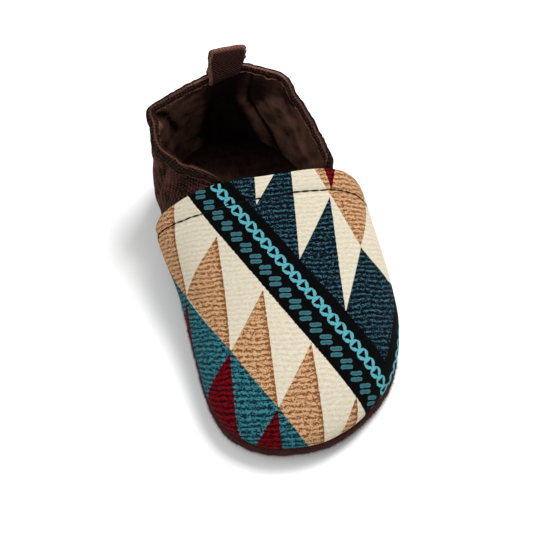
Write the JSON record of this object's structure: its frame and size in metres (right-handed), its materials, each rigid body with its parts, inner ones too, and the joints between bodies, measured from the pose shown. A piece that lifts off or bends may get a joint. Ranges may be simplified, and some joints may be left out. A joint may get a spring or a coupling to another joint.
{
  "type": "baby shoe",
  "caption": "Soft crib shoe for a baby's left foot: dark brown canvas, patterned cloth vamp, open collar with a turned hem, webbing pull loop at the heel, brown suede sole.",
  "frame": {"origin": "on the floor, under the middle of the shoe's length and width", "axes": "toe towards -Y, heel towards +Y, outer side of the foot towards +X, up +Z"},
  "size_m": [0.0654, 0.1188, 0.0567],
  "materials": {
    "sole_suede": "soft brown suede with a fuzzy edge",
    "insole_cloth": "brushed brown cloth",
    "brown_canvas": "dark brown canvas, plain brown lining",
    "printed_cloth": "matt woven cloth with a printed geometric pattern",
    "brown_tape": "fine diagonal twill webbing"
  },
  "bodies": {
    "root": {"outsole": "sole_suede", "insole": "insole_cloth", "upper": "brown_canvas", "vamp": "printed_cloth", "pull_loop": "brown_tape"}
  },
  "joints": []
}
